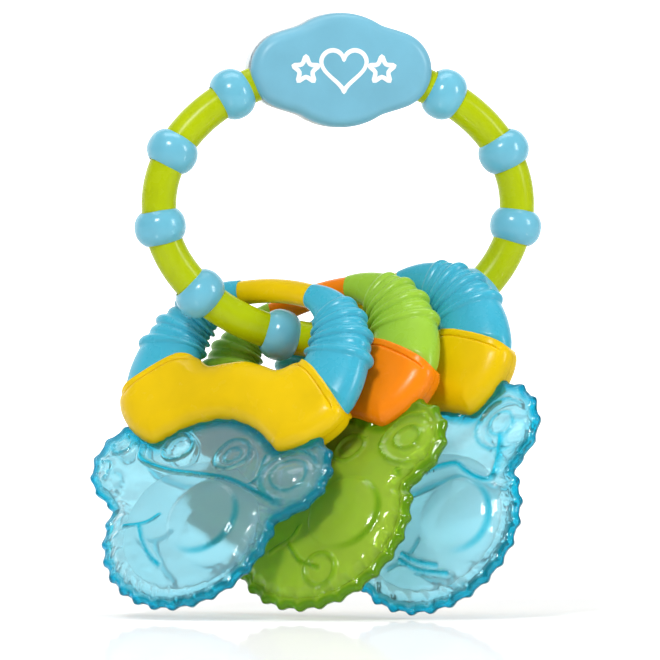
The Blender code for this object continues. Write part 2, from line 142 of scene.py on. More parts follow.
BLOCK_HALF_DEPTH = 5.4 * MM
BLOCK_ROUNDING = 6.0 * MM
BLOCK_SHOULDER = 4.2 * MM
BLOCK_SEAM_ROUNDING = 0.5 * MM
PARTING_GAP = 0.04 * MM
GROOVE_INSET = 1.8 * MM
GROOVE_HALF_WIDTH = 0.27 * MM
GROOVE_DEPTH = 0.36 * MM
GROOVE_FADE = (1.0 * MM, 2.0 * MM)
GROOVE_ROWS = (-0.32, -0.2, -0.1, 0.0, 0.1, 0.2, 0.32)
COVER_ROWS = (0.04, 0.12, 0.28, 0.5, 0.85, 1.25)
COVER_SPACING = 0.7 * MM

# Teether.
TEETHER_CENTRE = (0.0, -38.0 * MM)
HEAD = (0.0, -43.5 * MM, 24.6 * MM, 23.4 * MM)
TAB = (0.0, -27.0 * MM, 19.0 * MM, 15.6 * MM)
EAR = (23.4 * MM, -28.0 * MM, 11.8 * MM, 11.8 * MM)
TEETHER_HALF_DEPTH = 5.6 * MM
MUZZLE_RISE = 1.2 * MM
RING_INK = 0.55
RIM_HALF_DEPTH = 1.5 * MM
RIM_BEAD_WIDTH = 1.5 * MM
VALLEY_DEPTH = 0.35 * MM
VALLEY_START = (1.6 * MM, 2.4 * MM)
VALLEY_END = (3.0 * MM, 4.2 * MM)
CROWN_START = 2.4 * MM
CROWN_LENGTH = 10.0 * MM
SKIN_THICKNESS = 1.1 * MM
FLAT_TAB_BOTTOM = -21.5 * MM
BLOCK_UNDERSIDE = -14.0 * MM
SWELL_LENGTH = 12.0 * MM
KNOB_PITCH = 5.6 * MM
KNOB_HEIGHT = 0.9 * MM
KNOB_HALF_WIDTH = 2.1 * MM
SKIN_TURNS = 360
SKIN_RINGS = 60
SKIN_RIM_RINGS = 16
SKIN_RIM_SHARE = 0.16
INNER_SHARES = (0.94, 0.88, 0.8, 0.68, 0.52, 0.36, 0.2)
INNER_TONE = 0.1
GEL_GAP = 0.5 * MM
GEL_STEPS = 96
GEL_RINGS = 14
GEL = (0.0, -43.5 * MM, 18.5 * MM, 17.0 * MM)


# ---------------------------------------------------------------- materials

def new_material(name):
    material = bpy.data.materials.new(name)
    material.use_nodes = True
    tree = material.node_tree
    return material, tree, tree.nodes["Principled BSDF"]


def noise_node(tree, scale, detail=4.0, roughness=0.5):
    place = tree.nodes.new("ShaderNodeTexCoord")
    noise = tree.nodes.new("ShaderNodeTexNoise")
    noise.inputs["Scale"].default_value = scale
    noise.inputs["Detail"].default_value = detail
    noise.inputs["Roughness"].default_value = roughness
    tree.links.new(place.outputs["Object"], noise.inputs["Vector"])
    return noise.outputs["Fac"]


def ramp_node(tree, value, stops):
    ramp = tree.nodes.new("ShaderNodeValToRGB")
    points = ramp.color_ramp.elements
    points[0].position, points[0].color = stops[0][0], (*stops[0][1], 1.0)
    points[1].position, points[1].color = stops[-1][0], (*stops[-1][1], 1.0)
    for position, colour in stops[1:-1]:
        points.new(position).color = (*colour, 1.0)
    tree.links.new(value, ramp.inputs["Fac"])
    return ramp.outputs["Color"]


def range_node(tree, value, low, high):
    """Noise, which lies mostly between 0.3 and 0.7, stretched from low to high."""
    span = tree.nodes.new("ShaderNodeMapRange")
    span.inputs["From Min"].default_value = 0.3
    span.inputs["From Max"].default_value = 0.7
    span.inputs["To Min"].default_value = low
    span.inputs["To Max"].default_value = high
    tree.links.new(value, span.inputs["Value"])
    return span.outputs["Result"]


def bump_node(tree, shader, value, strength, depth):
    bump = tree.nodes.new("ShaderNodeBump")
    bump.inputs["Strength"].default_value = strength
    bump.inputs["Distance"].default_value = depth
    tree.links.new(value, bump.inputs["Height"])
    tree.links.new(bump.outputs["Normal"], shader.inputs["Normal"])


def tinted(colour, factor):
    return tuple(min(part * factor, 1.0) for part in colour)


def plastic(name, colour, roughness, grain=0.25, gleam=0.3):
    """Moulded plastic: cloudy colour, uneven gloss and the faint orange peel of a mould."""
    material, tree, shader = new_material(name)
    cloud = noise_node(tree, 90.0)
    stops = [(0.3, tinted(colour, 0.94)), (0.5, colour), (0.72, tinted(colour, 1.06))]
    tree.links.new(ramp_node(tree, cloud, stops), shader.inputs["Base Color"])
    gloss = range_node(tree, noise_node(tree, 260.0), roughness - 0.04, roughness + 0.05)
    tree.links.new(gloss, shader.inputs["Roughness"])
    bump_node(tree, shader, noise_node(tree, 1500.0, 3.0), grain, 0.05 * MM)
    shader.inputs["Specular IOR Level"].default_value = gleam
    return material


def clear_skin(name, pale, middle, deep, clearness):
    """Clear soft plastic, paler where it is thin and deeper at the rim and along the raised lines,
    with painted shade as a darker crescent on the muzzle.
    """
    material, tree, shader = new_material(name)
    tone = tree.nodes.new("ShaderNodeAttribute")
    tone.attribute_name = "tone"
    cloud = noise_node(tree, 120.0)
    mixed = tree.nodes.new("ShaderNodeMath")
    mixed.operation = "MULTIPLY_ADD"
    mixed.inputs[1].default_value = 0.12
    tree.links.new(cloud, mixed.inputs[0])
    tree.links.new(tone.outputs["Fac"], mixed.inputs[2])
    stops = [(0.06, pale), (0.5, middle), (1.0, deep)]
    tree.links.new(ramp_node(tree, mixed.outputs["Value"], stops), shader.inputs["Base Color"])
    gloss = range_node(tree, noise_node(tree, 200.0), 0.07, 0.14)
    tree.links.new(gloss, shader.inputs["Roughness"])
    bump_node(tree, shader, noise_node(tree, 500.0, 2.0), 0.15, 0.1 * MM)
    shader.inputs["Transmission Weight"].default_value = clearness
    shader.inputs["IOR"].default_value = 1.36
    return material


def gel_material(name, pale, deep):
    material, tree, shader = new_material(name)
    stops = [(0.3, pale), (0.7, deep)]
    tree.links.new(ramp_node(tree, noise_node(tree, 70.0, 2.0), stops), shader.inputs["Base Color"])
    gloss = range_node(tree, noise_node(tree, 150.0), 0.30, 0.45)
    tree.links.new(gloss, shader.inputs["Roughness"])
    shader.inputs["Transmission Weight"].default_value = 0.95
    shader.inputs["IOR"].default_value = 1.05
    return material


def make_materials():
    return {
        "lime": plastic("lime plastic", (0.420, 0.520, 0.001), 0.26, gleam=0.2),
        "sky": plastic("sky plastic", (0.145, 0.480, 0.630), 0.22, gleam=0.5),
        "clasp": plastic("clasp plastic", (0.165, 0.445, 0.585), 0.34, gleam=0.4),
        "white": plastic("white plastic", (0.80, 0.84, 0.86), 0.34),
        "print": plastic("white print", (0.92, 0.94, 0.95), 0.45),
        "yellow": plastic("yellow plastic", (0.780, 0.520, 0.001), 0.24, gleam=0.2),
        "orange": plastic("orange plastic", (0.900, 0.230, 0.003), 0.24, gleam=0.2),
        "blue_grip": plastic("blue grip", (0.045, 0.410, 0.570), 0.28, grain=0.35, gleam=0.4),
        "green_grip": plastic("green grip", (0.310, 0.550, 0.040), 0.28, grain=0.35, gleam=0.3),
        "clear_blue": clear_skin("clear blue skin", (0.64, 0.90, 0.96), (0.16, 0.70, 0.84),
                                 (0.001, 0.50, 0.70), 0.84),
        "clear_green": clear_skin("clear green skin", (0.52, 0.76, 0.06), (0.36, 0.62, 0.02),
                                  (0.20, 0.46, 0.004), 0.55),
        "blue_gel": gel_material("blue gel", (0.84, 0.96, 0.98), (0.88, 0.98, 0.99)),
        "green_gel": gel_material("green gel", (0.70, 0.86, 0.25), (0.80, 0.92, 0.40)),
    }


# ---------------------------------------------------------------- mesh helpers

def finished(shape, name, sharp_angle=50.0):
    bmesh.ops.recalc_face_normals(shape, faces=shape.faces)
    mesh = bpy.data.meshes.new(name)
    shape.to_mesh(mesh)
    shape.free()
    mesh.shade_smooth()
    mesh.set_sharp_from_angle(angle=math.radians(sharp_angle))
    return mesh


def loft(name, rings, joined=False):
    """A skin over rings of points, its ends capped, or joined to each other. A ring of one point
    closes an end by itself."""
    shape = bmesh.new()
    rows = [[shape.verts.new(point) for point in ring] for ring in rings]
    pairs = list(zip(rows, rows[1:]))
    if joined:
        pairs.append((rows[-1], rows[0]))
    for lower, upper in pairs:
        count = max(len(lower), len(upper))
        for index in range(count):
            after = (index + 1) % count
            corners = [lower[index % len(lower)], lower[after % len(lower)],
                       upper[after % len(upper)], upper[index % len(upper)]]
            shape.faces.new(list(dict.fromkeys(corners)))
    if not joined:
        for row in (rows[0], rows[-1]):
            if len(row) > 2:
                shape.faces.new(row)
    return finished(shape, name)


def sweep(name, points, radii, sides, normal):
    """A rod along points in a plane with that normal; radii are (in the plane, across it) pairs."""
    rings = []
    last = len(points) - 1
    for index, point in enumerate(points):
        ahead = (points[min(index + 1, last)] - points[max(index - 1, 0)]).normalized()
        out = ahead.cross(normal).normalized()
        wide, deep = radii[index]
        ring = []
        for step in range(sides):
            turn = math.tau * step / sides
            ring.append(point + out * wide * math.cos(turn) + normal * deep * math.sin(turn))
        rings.append(ring)
    return loft(name, rings)


def smooth_loop(points, steps):
    """A closed Catmull-Rom curve through points, as a list of (x, z)."""
    loop = []
    count = len(points)
    for index in range(count):
        before, start, end, after = (Vector(points[(index + shift) % count]) for shift in (-1, 0, 1, 2))
        for step in range(steps):
            t = step / steps
            value = 0.5 * (2 * start + (end - before) * t
                           + (2 * before - 5 * start + 4 * end - after) * t * t
                           + (3 * start - before - 3 * end + after) * t ** 3)
            loop.append((value.x, value.y))
    return loop


def place(name, mesh, material, body, slot, nodes=(), matrix=None):
    if matrix is not None:
        mesh = mesh.copy()
        mesh.transform(matrix)
    item = bpy.data.objects.new(name, mesh)
    bpy.context.scene.collection.objects.link(item)
    if not mesh.materials:
        mesh.materials.append(None)
    item.material_slots[0].link = "OBJECT"
    item.material_slots[0].material = material
    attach(item, body)
    if nodes:
        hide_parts(*nodes)
    return item


def steps_between(low, high, inside):
    """0 below low, 1 above high, and a smooth rise between."""
    share = np.clip((inside - low) / (high - low), 0.0, 1.0)
    return share * share * (3.0 - 2.0 * share)


def nearest(x, z, line):
    """Distance of each point to the nearest point of a densely sampled line."""
    best = np.full(x.shape, np.inf)
    for px, pz in line:
        best = np.minimum(best, (x - px) ** 2 + (z - pz) ** 2)
    return np.sqrt(best)


# ---------------------------------------------------------------- ring, beads and clasp

def ring_frame():
    """The ring's middle, half width, half height and rod radius, from its CAD node."""
    low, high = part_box("ring")
    radius = (high.y - low.y) / 2
    wide = (high.x - low.x) / 2 - radius
    high_half = wide * RING_ASPECT
    middle = Vector(((low.x + high.x) / 2, (low.y + high.y) / 2, low.z + radius + high_half))
    return middle, wide, high_half, radius


def build_ring(paint):
    middle, wide, high, radius = ring_frame()
    points, radii = [], []
    for step in range(RING_STEPS + 1):
        angle = RING_END_ANGLE + (360.0 - 2 * RING_END_ANGLE) * step / RING_STEPS
        turn = math.radians(angle)
        points.append(middle + Vector((wide * math.sin(turn), 0.0, high * math.cos(turn))))
        neck = RING_NECK_RATIO if min(angle, 360.0 - angle) < RING_NECK_ANGLE else 1.0
        radii.append((radius * neck, radius * neck))
    mesh = sweep("ring", points, radii, RING_SIDES, Vector((0, 1, 0)))
    place("ring_rod", mesh, paint["lime"], "ring_body", "lime_plastic", ["ring"])


def bead_mesh(radius):
    """A fat round bead about Z, its ends drawn in to the rod, with the rod's bore through it."""
    bore = radius * BEAD_BORE_RATIO
    half = radius * BEAD_LENGTH_RATIO
    reach = half / (1.0 - (bore / radius) ** BEAD_SHAPE) ** (1.0 / BEAD_SHAPE)
    profile = []
    for step in range(BEAD_STEPS + 1):
        along = half * math.sin(math.pi * (step / BEAD_STEPS - 0.5))
        profile.append((radius * (1.0 - abs(along / reach) ** BEAD_SHAPE) ** (1.0 / BEAD_SHAPE), along))
    bore_start, bore_end = ((bore - BEAD_BORE_OVERLAP, sign * half * BEAD_BORE_END) for sign in (-1, 1))
    rings = []
    for out, along in [bore_start] + profile + [bore_end]:
        turns = [math.tau * side / BEAD_SIDES for side in range(BEAD_SIDES)]
        rings.append([Vector((out * math.cos(turn), out * math.sin(turn), along)) for turn in turns])
    return loft("bead", rings, joined=True)


def build_beads(paint):
    middle, wide, high, radius = ring_frame()
    low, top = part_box("bead_left_1")
    mesh = bead_mesh((top.y - low.y) / 2)
    for word in ("left", "right"):
        for index in range(1, 6):
            node = f"bead_{word}_{index}"
            low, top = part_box(node)
            centre = (low + top) / 2
            turn = math.atan2((centre.x - middle.x) / wide, (centre.z - middle.z) / high)
            ahead = Vector((wide * math.cos(turn), 0.0, -high * math.sin(turn))).normalized()
            turned = Vector((0, 0, 1)).rotation_difference(ahead).to_matrix().to_4x4()
            place(f"{node}_turned", mesh, paint["sky"], "ring_body", "sky_plastic", [node],
                  Matrix.Translation(centre) @ turned)


def clasp_outline(half_width, count):
    """The four-lobed cloud, with its hollows softened."""
    lobe, lobe_offset = CLASP_LOBE * half_width, CLASP_LOBE_OFFSET * half_width
    crown_radius, crown_offset = CLASP_CROWN * half_width, CLASP_CROWN_OFFSET * half_width
    far = []
    for step in range(count):
        turn = math.tau * step / count
        across, up = abs(math.cos(turn)), abs(math.sin(turn))
        crown = -crown_offset * up
        value = crown + math.sqrt(crown ** 2 + crown_radius ** 2 - crown_offset ** 2)
        inside = lobe ** 2 - (lobe_offset * up) ** 2
        if inside > 0.0:
            value = max(value, lobe_offset * across + math.sqrt(inside))
        far.append(value)
    reach = CLASP_SOFTENING
    soft = [sum(far[(i + s) % count] for s in range(-reach, reach + 1)) / (2 * reach + 1)
            for i in range(count)]
    return [(value * math.cos(math.tau * i / count), value * math.sin(math.tau * i / count))
            for i, value in enumerate(soft)]


def inset(outline, distance):
    """The outline moved inward by a distance."""
    moved = []
    count = len(outline)
    for index, (x, z) in enumerate(outline):
        before, after = outline[index - 1], outline[(index + 1) % count]
        along = Vector((after[0] - before[0], after[1] - before[1])).normalized()
        moved.append((x - along.y * distance, z + along.x * distance))
    return moved


def shell_rings(outline, centre, parting, face, rounding, crowning):
    """Rings of one clasp shell, from its parting face to the middle of its outer face."""
    side = 1.0 if face > parting else -1.0
    x0, z0 = centre

    def ring(points, y):
        return [Vector((x0 + x, y, z0 + z)) for x, z in points]

    rings = [ring(inset(outline, CLASP_EDGE), parting), ring(outline, parting + side * CLASP_EDGE)]
    for step in range(CLASP_ROUNDING_STEPS + 1):
        turn = math.pi / 2 * step / CLASP_ROUNDING_STEPS
        edge = inset(outline, rounding * (1 - math.cos(turn)))
        rings.append(ring(edge, face - side * (crowning + rounding * (1 - math.sin(turn)))))
    edge = inset(outline, rounding)
    for share in CLASP_FACE_SHARES:
        rise = crowning * (1 - share ** 2)
        rings.append(ring([(x * share, z * share) for x, z in edge], face - side * (crowning - rise)))
    return rings


def star(centre, size):
    corners = []
    for step in range(10):
        far = size if step % 2 == 0 else size * STAR_INNER_RATIO
        turn = math.radians(90.0 + 36.0 * step)
        corners.append((centre[0] + far * math.cos(turn), centre[1] + far * math.sin(turn)))
    return smooth_loop(corners, 4)


def heart(centre, size):
    loop = []
    for step in range(HEART_STEPS):
        turn = math.tau * step / HEART_STEPS
        x = size * math.sin(turn) ** 3
        z = size * (13 * math.cos(turn) - 5 * math.cos(2 * turn) - 2 * math.cos(3 * turn)
                    - math.cos(4 * turn)) / 16
        loop.append((centre[0] + x, centre[1] + z))
    return loop


def stroke_mesh(name, loop, y):
    """A closed printed line: a low rounded bead on the face."""
    shape = bmesh.new()
    rows = []
    count = len(loop)
    for index, (x, z) in enumerate(loop):
        before, after = loop[index - 1], loop[(index + 1) % count]
        along = Vector((after[0] - before[0], 0.0, after[1] - before[1])).normalized()
        out = Vector((along.z, 0.0, -along.x))
        row = []
        for step in range(PRINT_SIDES):
            turn = math.tau * step / PRINT_SIDES
            row.append(shape.verts.new(Vector((x, y, z)) + out * PRINT_HALF_WIDTH * math.cos(turn)
                                       + Vector((0.0, PRINT_RISE * math.sin(turn), 0.0))))
        rows.append(row)
    for index in range(count):
        for step in range(PRINT_SIDES):
            after = (step + 1) % PRINT_SIDES
            shape.faces.new((rows[index - 1][step], rows[index - 1][after],
                             rows[index][after], rows[index][step]))
    return finished(shape, name)


def build_clasp(paint):
    low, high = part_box("clasp_front_shell")
    back_low, back_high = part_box("clasp_back_shell")
    half_width = (high.x - low.x) / 2
    centre = ((low.x + high.x) / 2, (low.z + high.z) / 2)
    outline = clasp_outline(half_width, CLASP_STEPS)
    front = shell_rings(outline, centre, high.y, low.y, CLASP_ROUNDING, CLASP_CROWNING)
    back = shell_rings(outline, centre, back_low.y, back_high.y, CLASP_ROUNDING, 0.0)
    place("clasp_front", loft("clasp_front", front), paint["clasp"], "ring_body", "sky_plastic",
          ["clasp_front_shell"])
    place("clasp_back", loft("clasp_back", back), paint["white"], "ring_body", "white_plastic",
          ["clasp_back_shell"])
    x, z = centre[0], centre[1] + PRINT_LIFT
    marks = {"print_heart": heart((x, z), HEART_SIZE),
             "print_star_left": star((x - STAR_OFFSET, z - PRINT_LIFT), STAR_SIZE),
             "print_star_right": star((x + STAR_OFFSET, z - PRINT_LIFT), STAR_SIZE)}
    for name, loop in marks.items():
        mesh = stroke_mesh(name, loop, low.y + PRINT_SINK)
        place(name, mesh, paint["print"], "ring_body", "sky_plastic")


# ---------------------------------------------------------------- keys

def surface_middle(node):
    """Area-weighted middle of a CAD node's surface."""
    mesh = frame["nodes"][node].data
    total = sum(face.area for face in mesh.polygons)
    return sum((face.center * face.area for face in mesh.polygons), Vector()) / total


def key_matrix(number):
    """A key's own axes in the row frame, from its joint and its CAD nodes."""
    body = f"key_{number}"
    joint = next(item for item in frame["joints"] if item["child"] == body)
    front = Vector(joint["axis"]).normalized()
    left, right = (surface_middle(f"{body}_grip_{word}") for word in ("left", "right"))
    across = right - left
    across = (across - front * across.dot(front)).normalized()
    up = front.cross(across)
    top = max(vertex.co.dot(up) for vertex in frame["nodes"][f"{body}_frame"].data.vertices)
    middle = (left + right) / 2
    zero = middle + up * (top - BAR_HEIGHT - BAR_RADIUS - middle.dot(up))
    turn = Matrix((across, -front, up)).transposed()
    return Matrix.Translation(zero) @ turn.to_4x4()


def arm_point(t):
    """Centre of the right arm, from the block (t = 0) to the bar (t = 1)."""
    end = (BAR_HALF_LENGTH, BAR_HEIGHT - BAR_END_DROP)
    knots = (ARM_FOOT, ARM_OUTER_PULL, ARM_UPPER_PULL, end)
    weights = ((1 - t) ** 3, 3 * t * (1 - t) ** 2, 3 * t * t * (1 - t), t ** 3)
    return Vector((sum(w * knot[0] for w, knot in zip(weights, knots)),
                   sum(w * knot[1] for w, knot in zip(weights, knots))))


def bar_mesh():
    """The handle's rod: up the left arm, along the arched bar and down the right arm."""
    arm = [Vector(ARM_ROOT)] + [arm_point(step / ARM_STEPS) for step in range(ARM_STEPS + 1)]
    bar = []
    for step in range(1, BAR_STEPS + 1):
        share = 1.0 - step / BAR_STEPS
        bar.append(Vector((BAR_HALF_LENGTH * share, BAR_HEIGHT - BAR_END_DROP * share ** 2)))
    right = [(point, CORE_RATIO if index <= ARM_STEPS else 1.0) for index, point in enumerate(arm)]
    right += [(point, 1.0) for point in bar]
    left = [(Vector((-point.x, point.y)), ratio) for point, ratio in right[:-1]]
    route = left + right[::-1]
    points = [Vector((point.x, 0.0, point.y)) for point, ratio in route]
    radii = [(BAR_RADIUS * ratio, BAR_RADIUS * ratio) for point, ratio in route]
    return sweep("bar", points, radii, BAR_SIDES, Vector((0, 1, 0)))


def rib_rise(t):
    """How far the grip's ribs stand out at t, in metres."""
    rise = 0.0
    for middle, height in GRIP_RIBS:
        away = abs(t - middle) / (GRIP_RIB_SPAN * (0.55 + 0.3 * height))
        if away < 1.0:
            rise = max(rise, height * MM * math.sqrt(1.0 - away ** 2) ** 1.5)
    return rise


def grip_mesh(side):
    """A sleeve with rounded ribs: a loft of oval sections up the arm."""
    rings = []
    for step in range(GRIP_STEPS + 1):
        t = GRIP_START + (1.0 - GRIP_START) * step / GRIP_STEPS
        ahead = arm_point(t + 0.005) - arm_point(t - 0.005)
        tilt = math.atan2(ahead.y, ahead.x) - math.radians(90.0)
        tilt -= math.radians(GRIP_SEAM_TILT) * (1 - t) ** 2
        swell = 1.0 - abs(t) ** GRIP_TAPER
        rib = rib_rise(t)
        wide = GRIP_END_RADIUS + (GRIP_FOOT_HALF_WIDTH - GRIP_END_RADIUS) * swell + rib
        deep = GRIP_END_RADIUS + (GRIP_FOOT_HALF_DEPTH - GRIP_END_RADIUS) * swell
        tucked = min(max((GRIP_TUCK_END - t) / GRIP_TUCK_SPAN, 0.0), 1.0)
        deep += rib * GRIP_RIB_FRONT - GRIP_FOOT_TUCK * tucked
        centre = arm_point(t)
        ring = []
        for turn_step in range(GRIP_SIDES):
            turn = math.tau * turn_step / GRIP_SIDES
            across = wide * math.copysign(abs(math.cos(turn)) ** GRIP_SQUARENESS, math.cos(turn))
            depth = deep * math.copysign(abs(math.sin(turn)) ** GRIP_SQUARENESS, math.sin(turn))
            x = centre.x + across * math.cos(tilt)
            z = centre.y + across * math.sin(tilt)
            ring.append(Vector((side * x, depth, z)))
        rings.append(ring)
    return loft("grip", rings)


def block_outline(steps):
    """The block seen from the front, half of it given and the rest mirrored."""
    half_outline = [(0.0, 1.2), (5.2, 0.4), (10.4, -0.6), (15.6, 1.7), (20.4, 0.1), (24.8, -3.0),
                    (29.2, -6.9), (32.4, -10.6), (31.4, -14.2), (27.8, -18.2), (23.6, -21.0),
                    (18.6, -22.6), (15.0, -20.4), (9.8, -17.0), (3.4, -14.9), (0.0, -14.6)]
    right = [(x * MM, z * MM) for x, z in half_outline]
    left = [(-x, z) for x, z in right[1:-1]]
    return smooth_loop(right + left[::-1], steps)


def rounded(distance, radius, shoulder):
    """Drop of a surface near a rounded edge: the whole shoulder at the edge, none past the radius."""
    share = 1.0 - np.clip(distance / radius, 0.0, 1.0)
    return shoulder * (1.0 - np.sqrt(1.0 - share ** 2))


def under_grip(x, z):
    """Whether a point of the block's outline lies under a grip's foot."""
    return 15.6 * MM < abs(x) < 32.4 * MM and z > -11.6 * MM


def within(outline, x, z):
    """Which points lie inside a closed outline."""
    inside = np.zeros(x.shape, dtype=bool)
    for (x1, z1), (x2, z2) in zip(outline, outline[1:] + outline[:1]):
        if z1 != z2:
            crossed = (z > min(z1, z2)) & (z <= max(z1, z2))
            inside ^= crossed & (x < x1 + (z - z1) * (x2 - x1) / (z2 - z1))
    return inside


def sheet_over(outline, edge_line, spacing, margins, lines):
    """Points and triangles that fill an outline: rows along its edge, chosen lines, and a grid."""
    low, high = np.array(outline).min(0), np.array(outline).max(0)
    groups = [(inset(outline, margin), margin * 0.9) for margin in margins]
    grid = []
    for number, height in enumerate(np.arange(low[1], high[1], spacing * 0.87)):
        grid += [(x + (number % 2) * spacing / 2, height) for x in np.arange(low[0], high[0], spacing)]
    groups.append((lines, margins[-1]))
    groups.append((grid, margins[-1] + spacing * 0.5))
    kept = list(outline)
    for points, limit in groups:
        spots = np.array(points)
        x, z = spots[:, 0], spots[:, 1]
        fine = within(outline, x, z) & (nearest(x, z, edge_line) >= limit)
        if points is grid:
            fine &= nearest(x, z, lines) > spacing * 0.5
        kept += [tuple(spot) for spot in spots[fine]]
    made = delaunay_2d_cdt([Vector(point) for point in kept], [], [list(range(len(outline)))], 1, 1e-7)
    return made[0], made[2]


def cover_mesh(side):
    """Half of the block: a soft pillow, straight at the seams with the grips, with a fine groove."""
    outline, edge_line = block_outline(12)[::-1], block_outline(70)
    seam = [point for point in edge_line if under_grip(*point)]
    open_edge = [point for point in edge_line if not under_grip(*point)]
    margins = [row * MM for row in COVER_ROWS]
    lines = []
    for shift in GROOVE_ROWS:
        lines += inset(outline, GROOVE_INSET + shift * MM)
    spots, faces = sheet_over(outline, edge_line, COVER_SPACING, margins, lines)
    x, z = (np.array([spot[axis] for spot in spots]) for axis in (0, 1))
    to_open, to_seam = nearest(x, z, open_edge), nearest(x, z, seam)
    drop = np.maximum(rounded(to_open, BLOCK_ROUNDING, BLOCK_SHOULDER),
                      rounded(to_seam, BLOCK_SEAM_ROUNDING, BLOCK_SEAM_ROUNDING))
    near = np.clip(1.0 - np.abs(to_seam - GROOVE_INSET) / GROOVE_HALF_WIDTH, 0.0, 1.0)
    drop = drop + GROOVE_DEPTH * near * steps_between(*GROOVE_FADE, to_open)
    shape = bmesh.new()
    points = [shape.verts.new((a, side * (BLOCK_HALF_DEPTH - b), c)) for a, b, c in zip(x, drop, z)]
    for face in faces:
        shape.faces.new([points[index] for index in face])
    rim = [edge for edge in shape.edges if edge.is_boundary]
    grown = bmesh.ops.extrude_edge_only(shape, edges=rim)["geom"]
    for item in grown:
        if isinstance(item, bmesh.types.BMVert):
            item.co.y = side * PARTING_GAP
    bmesh.ops.edgeloop_fill(shape, edges=[edge for edge in shape.edges if edge.is_boundary])
    return finished(shape, "cover", 75.0)


# ---------------------------------------------------------------- teethers

def ray_reach(oval, turn):
    """How far a ray from the teether's centre goes before it leaves an oval, or zero."""
    x, z, wide, high = oval
    across, up = math.cos(turn), math.sin(turn)
    offset = TEETHER_CENTRE[1] - z
    a = (across / wide) ** 2 + (up / high) ** 2
    b = (-x * across) / wide ** 2 + (offset * up) / high ** 2
    c = (x / wide) ** 2 + (offset / high) ** 2 - 1.0
    inside = b * b - a * c
    return (-b + math.sqrt(inside)) / a if inside > 0.0 else 0.0


def teether_reach(count):
    """Distance of the rim from the centre at even angles, with the knobs round it."""
    x, z, wide, high = EAR
    ovals = (HEAD, TAB, EAR, (-x, z, wide, high))
    turns = np.arange(count) * math.tau / count
    far = np.array([max(ray_reach(oval, turn) for oval in ovals) for turn in turns])
    soft = sum(np.roll(far, shift) for shift in range(-5, 6)) / 11
    px, pz = soft * np.cos(turns), soft * np.sin(turns)
    lengths = np.hypot(np.roll(px, -1) - px, np.roll(pz, -1) - pz)
    along = np.concatenate(([0.0], np.cumsum(lengths)[:-1]))
    knobs = round(float(lengths.sum()) / KNOB_PITCH)
    pitch = float(lengths.sum()) / knobs
    away = np.abs((along / pitch) % 1.0 - 0.5) * pitch
    knob = np.cos(np.clip(away / KNOB_HALF_WIDTH, 0.0, 1.0) * math.pi / 2) ** 2
    return turns, soft - KNOB_HEIGHT * (1.0 - knob), knob


def line_through(points, steps=12):
    """An open Catmull-Rom line through points given in millimetres."""
    knots = [Vector(points[0])] + [Vector(point) for point in points] + [Vector(points[-1])]
    line = []
    for index in range(1, len(knots) - 2):
        before, start, end, after = knots[index - 1:index + 3]
        for step in range(steps):
            t = step / steps
            value = 0.5 * (2 * start + (end - before) * t
                           + (2 * before - 5 * start + 4 * end - after) * t * t
                           + (3 * start - before - 3 * end + after) * t ** 3)
            line.append((value.x * MM, value.y * MM))
    line.append((knots[-1].x * MM, knots[-1].y * MM))
    return line


# Face of each teether, in millimetres in the key's axes: raised lines as (points, half width,
# rise), rings as (centre, radius, half width, rise), discs as (centre, radius, rise) and the muzzle
# as (x, z, radius) of its dome.
BLUE_FACE = {
    "muzzle": (5.6, -43.2, 9.6),
    "lines": [
        (((-20.8, -23.8), (-19.5, -27.3), (-14.9, -29.5), (-7.9, -31.1), (-0.8, -31.6), (7.3, -32.2),
          (13.1, -33.6), (19.2, -35.7), (25.1, -37.5), (30.2, -37.2), (33.0, -33.4)), 0.65, 0.9),
        (((15.6, -24.5), (17.2, -31.4), (15.9, -33.6)), 0.4, 0.5),
        (((-16.1, -46.9), (-11.6, -46.4), (-8.8, -45.3), (-6.7, -43.4)), 0.45, 0.7),
        (((-11.3, -46.8), (-8.9, -50.6), (-5.3, -54.3), (-1.7, -56.8)), 0.55, 0.7),
    ],
    "rings": [((25.1, -29.6), 7.2, 0.6, 0.7), ((25.1, -29.6), 4.6, 0.35, 0.4),
              ((6.2, -24.8), 4.6, 0.5, 0.8), ((6.2, -24.8), 2.2, 0.4, 0.5),
              ((-10.6, -23.5), 3.9, 0.5, 0.8), ((-27.1, -23.4), 2.8, 0.55, 0.8),
              ((-29.5, -31.4), 2.6, 0.4, 0.5)],
    "discs": [((25.1, -29.6), 3.4, 0.5), ((-10.6, -23.5), 3.2, 0.8)],
}
GREEN_FACE = {
    "muzzle": (7.8, -45.1, 9.6),
    "lines": [
        (((-7.2, -49.3), (-4.6, -54.8), (0.0, -58.0)), 0.45, 0.7),
        (((-12.5, -49.6), (-6.7, -47.8), (-4.2, -45.3)), 0.45, 0.7),
        (((22.3, -37.5), (23.3, -42.8), (22.6, -48.8), (20.5, -54.5)), 0.6, 0.7),
    ],
    "rings": [((25.6, -29.2), 7.0, 0.6, 0.8), ((25.6, -29.2), 3.4, 0.5, 0.6),
              ((9.5, -26.4), 4.0, 0.5, 0.7), ((0.4, -58.6), 4.0, 0.6, 0.7),
              ((-25.0, -28.0), 6.6, 0.6, 0.7)],
    "discs": [((9.5, -26.4), 2.6, 0.6), ((-25.0, -28.0), 2.8, 0.5)],
}
